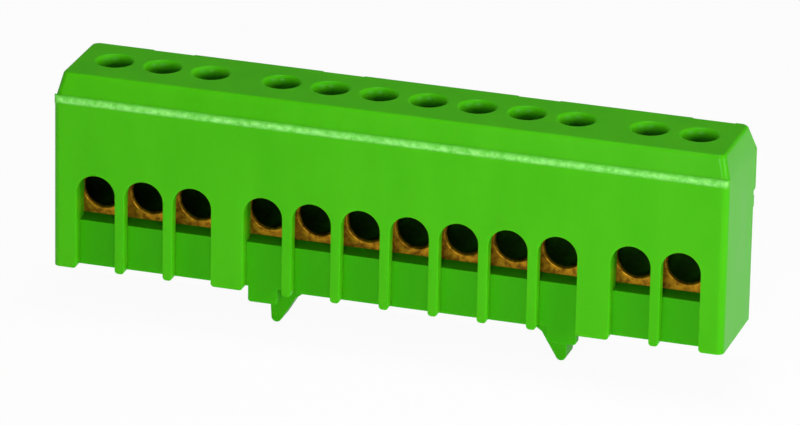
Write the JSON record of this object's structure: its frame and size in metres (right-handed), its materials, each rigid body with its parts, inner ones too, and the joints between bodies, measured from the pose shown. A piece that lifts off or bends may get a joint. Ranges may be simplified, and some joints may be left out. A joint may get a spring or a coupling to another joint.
{
  "type": "earth terminal bar",
  "caption": "Green two-part housing over a drilled brass bar; wires enter arched windows and are clamped by screws under round holes in the top. Hooks grip a mounting rail.",
  "frame": {"origin": "on the rail seat, under the middle port of the group of seven, in the centre plane of the brass bar", "axes": "+X along the row of ports, -Y the side that the wires enter, +Z away from the rail"},
  "size_m": [0.0973, 0.0162, 0.0348],
  "materials": {
    "cover_plastic": "satin moulded polyamide",
    "base_plastic": "satin moulded polyamide",
    "bar_brass": "drawn, drilled and deburred",
    "clamp_screw_steel": "zinc plated",
    "fixing_screw_steel": "zinc plated"
  },
  "bodies": {
    "root": {"base": "base_plastic", "cover": "cover_plastic", "brass_bar": "bar_brass", "terminal_screw_1": "clamp_screw_steel", "terminal_screw_2": "clamp_screw_steel", "terminal_screw_3": "clamp_screw_steel", "terminal_screw_4": "clamp_screw_steel", "terminal_screw_5": "clamp_screw_steel", "terminal_screw_6": "clamp_screw_steel", "terminal_screw_7": "clamp_screw_steel", "terminal_screw_8": "clamp_screw_steel", "terminal_screw_9": "clamp_screw_steel", "terminal_screw_10": "clamp_screw_steel", "terminal_screw_11": "clamp_screw_steel", "terminal_screw_12": "clamp_screw_steel", "bar_screw_left": "fixing_screw_steel", "bar_screw_right": "fixing_screw_steel"}
  },
  "joints": []
}
